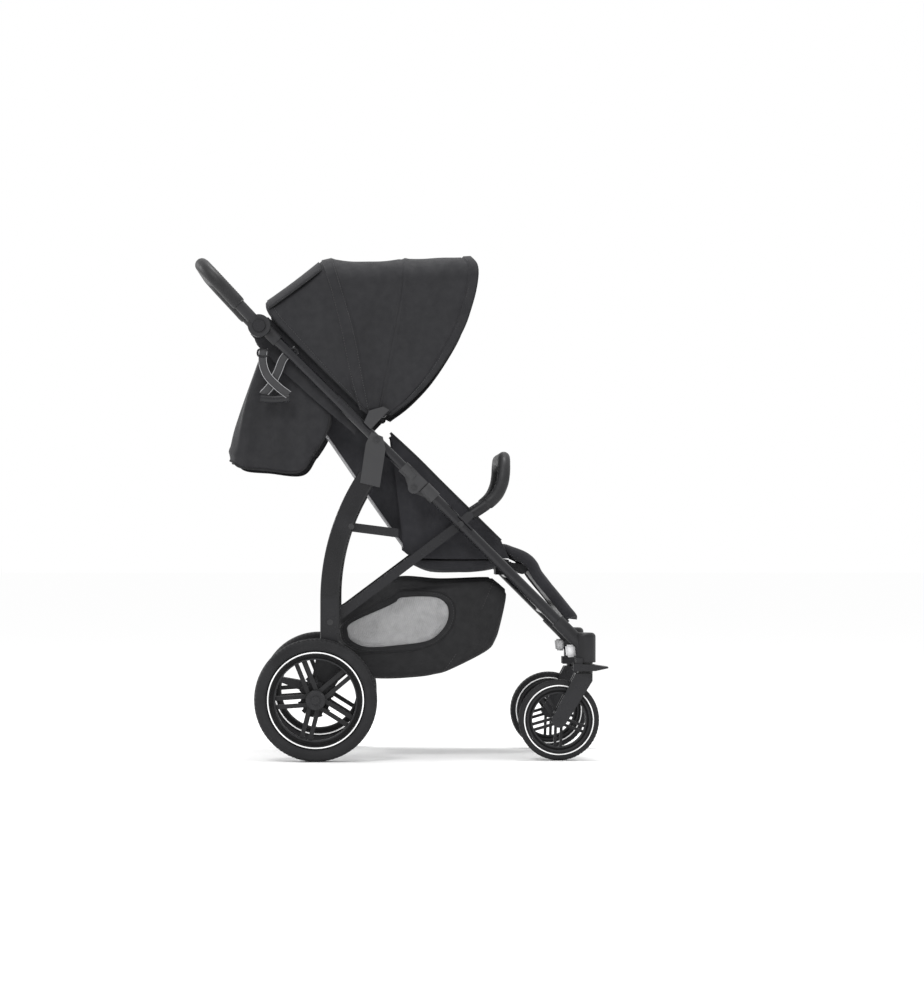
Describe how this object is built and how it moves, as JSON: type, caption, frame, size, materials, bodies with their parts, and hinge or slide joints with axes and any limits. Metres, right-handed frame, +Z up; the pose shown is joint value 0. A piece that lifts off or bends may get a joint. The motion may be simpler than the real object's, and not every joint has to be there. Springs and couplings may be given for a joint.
{
  "type": "baby stroller",
  "caption": "Folding baby stroller with swivel front wheels, large rear wheels, hooded reclining seat, leg rest, bumper bar and under-seat basket.",
  "frame": {"origin": "on the floor, midway between the ends and the sides of the whole stroller", "axes": "+X forwards, +Y to the child's left, +Z up"},
  "size_m": [0.8774, 0.61, 1.069],
  "materials": {
    "frame_steel": "satin black powder coat",
    "rivet_steel": "satin steel",
    "moulded_black": "fine grained black moulding",
    "moulded_gloss": "smooth black moulding",
    "tyre_rubber": "matt foam rubber",
    "grip_cover": "stitched leatherette",
    "hood_cloth": "twill woven cloth",
    "basket_cloth": "coated plain cloth",
    "seat_cloth": "soft woven cloth",
    "webbing": "woven webbing"
  },
  "bodies": {
    "chassis": {"front_tube_right": "frame_steel", "front_tube_left": "frame_steel", "cross_tubes": "frame_steel", "lower_knuckles": "moulded_black", "strut_pins": "rivet_steel", "caster_housings": "moulded_black", "seat_base": "moulded_black", "seat_cushion": "seat_cloth", "side_panels": "seat_cloth", "basket": "basket_cloth", "bumper_clips": "moulded_black", "crotch_strap": "webbing", "harness_buckle": "moulded_black"},
    "upper_frame": {"upper_tube_right": "frame_steel", "upper_tube_left": "frame_steel", "upper_knuckles": "moulded_black", "frame_pins": "rivet_steel", "hub_housings": "moulded_black", "canopy_brackets": "moulded_black", "canopy_rear_bow": "frame_steel", "canopy_rear_panel": "hood_cloth", "back_curtain": "hood_cloth", "carry_strap": "webbing"},
    "handle": {"handle_bar": "frame_steel", "handle_grip": "grip_cover", "hub_caps": "moulded_black"},
    "hub_button_right": {"hub_button_right": "moulded_gloss"},
    "hub_button_left": {"hub_button_left": "moulded_gloss"},
    "canopy_front": {"canopy_front_bow": "frame_steel", "canopy_front_panel": "hood_cloth"},
    "canopy_middle": {"canopy_middle_bow": "frame_steel", "canopy_middle_panel": "hood_cloth"},
    "backrest": {"backrest_board": "moulded_black", "back_cushion": "seat_cloth", "shoulder_straps": "webbing"},
    "leg_rest": {"leg_rest_board": "moulded_black", "leg_rest_pad": "seat_cloth"},
    "bumper": {"bumper_bar": "grip_cover"},
    "rear_legs": {"rear_leg_right": "frame_steel", "rear_leg_left": "frame_steel", "leg_head_plates": "frame_steel", "leg_screws": "rivet_steel", "axle_shoes": "moulded_black", "rear_axle": "frame_steel", "sling_arms": "frame_steel"},
    "struts": {"struts": "frame_steel"},
    "brake_pedal": {"brake_pedal": "moulded_black"},
    "brake_bar": {"brake_bar": "frame_steel"},
    "rear_wheel_right": {"rear_tyre_right": "tyre_rubber", "rear_rim_right": "moulded_black"},
    "rear_wheel_left": {"rear_tyre_left": "tyre_rubber", "rear_rim_left": "moulded_black"},
    "caster_right": {"caster_fork_right": "moulded_black"},
    "caster_left": {"caster_fork_left": "moulded_black"},
    "front_wheel_right": {"front_tyre_right": "tyre_rubber", "front_rim_right": "moulded_black"},
    "front_wheel_left": {"front_tyre_left": "tyre_rubber", "front_rim_left": "moulded_black"},
    "swivel_lock_right": {"swivel_lock_right": "moulded_black"},
    "swivel_lock_left": {"swivel_lock_left": "moulded_black"}
  },
  "joints": [
    {"name": "frame_fold", "type": "hinge", "parent": "chassis", "child": "upper_frame", "pos_m": [0.02805, 0, 0.57874], "axis": [0, -1, 0], "range_deg": [0, 90]},
    {"name": "leg_fold", "type": "hinge", "parent": "upper_frame", "child": "rear_legs", "pos_m": [-0.05221, 0, 0.68021], "axis": [0, -1, 0], "range_deg": [-46, 0]},
    {"name": "strut_fold", "type": "hinge", "parent": "chassis", "child": "struts", "pos_m": [0.12704, 0, 0.50096], "axis": [0, -1, 0], "range_deg": [0, 54]},
    {"name": "handle_tilt", "type": "hinge", "parent": "upper_frame", "child": "handle", "pos_m": [-0.30005, 0, 0.92098], "axis": [0, -1, 0], "range_deg": [-50, 55]},
    {"name": "hub_button_press_right", "type": "slide", "parent": "handle", "child": "hub_button_right", "axis": [0, 1, 0], "range_m": [0, 0.004], "stiffness_N_per_m": 400},
    {"name": "hub_button_press_left", "type": "slide", "parent": "handle", "child": "hub_button_left", "axis": [0, -1, 0], "range_m": [0, 0.004], "stiffness_N_per_m": 400},
    {"name": "canopy_fold", "type": "hinge", "parent": "upper_frame", "child": "canopy_front", "pos_m": [-0.03807, 0, 0.73537], "axis": [0, -1, 0], "range_deg": [0, 34], "deforming": ["canopy_front_panel"]},
    {"name": "canopy_middle_fold", "type": "hinge", "parent": "upper_frame", "child": "canopy_middle", "pos_m": [-0.03807, 0, 0.73537], "axis": [0, -1, 0], "range_deg": [0, 21], "deforming": ["canopy_middle_panel"]},
    {"name": "backrest_recline", "type": "hinge", "parent": "upper_frame", "child": "backrest", "pos_m": [0.023, 0, 0.44], "axis": [0, 1, 0], "range_deg": [-28, 12], "deforming": ["back_curtain"]},
    {"name": "leg_rest_tilt", "type": "hinge", "parent": "chassis", "child": "leg_rest", "pos_m": [0.2615, 0, 0.406], "axis": [0, -1, 0], "range_deg": [0, 45]},
    {"name": "bumper_swing", "type": "hinge", "parent": "chassis", "child": "bumper", "pos_m": [0.14472, 0, 0.51864], "axis": [0, 1, 0], "range_deg": [0, 50]},
    {"name": "brake_pedal_press", "type": "hinge", "parent": "rear_legs", "child": "brake_pedal", "pos_m": [-0.21, 0, 0.148], "axis": [0, -1, 0], "range_deg": [0, 16]},
    {"name": "brake_bar_drop", "type": "slide", "parent": "rear_legs", "child": "brake_bar", "axis": [0, 0, -1], "range_m": [0, 0.008]},
    {"name": "rear_wheel_spin_right", "type": "hinge", "parent": "rear_legs", "child": "rear_wheel_right", "pos_m": [-0.18, -0.2825, 0.13], "axis": [0, 1, 0], "continuous": true},
    {"name": "rear_wheel_spin_left", "type": "hinge", "parent": "rear_legs", "child": "rear_wheel_left", "pos_m": [-0.18, 0.2825, 0.13], "axis": [0, 1, 0], "continuous": true},
    {"name": "caster_swivel_right", "type": "hinge", "parent": "chassis", "child": "caster_right", "pos_m": [0.3915, -0.228, 0.2], "axis": [0, 0, 1], "continuous": true},
    {"name": "front_wheel_spin_right", "type": "hinge", "parent": "caster_right", "child": "front_wheel_right", "pos_m": [0.335, -0.228, 0.086], "axis": [0, 1, 0], "continuous": true},
    {"name": "swivel_lock_press_right", "type": "hinge", "parent": "chassis", "child": "swivel_lock_right", "pos_m": [0.378, -0.228, 0.197], "axis": [0, 1, 0], "range_deg": [0, 7]},
    {"name": "caster_swivel_left", "type": "hinge", "parent": "chassis", "child": "caster_left", "pos_m": [0.3915, 0.228, 0.2], "axis": [0, 0, 1], "continuous": true},
    {"name": "front_wheel_spin_left", "type": "hinge", "parent": "caster_left", "child": "front_wheel_left", "pos_m": [0.335, 0.228, 0.086], "axis": [0, 1, 0], "continuous": true},
    {"name": "swivel_lock_press_left", "type": "hinge", "parent": "chassis", "child": "swivel_lock_left", "pos_m": [0.378, 0.228, 0.197], "axis": [0, 1, 0], "range_deg": [0, 7]}
  ],
  "couplings": [
    {"joint": "leg_fold", "follows": "frame_fold", "ratio": -0.5031},
    {"joint": "strut_fold", "follows": "frame_fold", "ratio": 0.5947},
    {"joint": "canopy_middle_fold", "follows": "canopy_fold", "ratio": 0.6},
    {"joint": "brake_bar_drop", "follows": "brake_pedal_press", "m_per_rad": 0.028648}
  ]
}
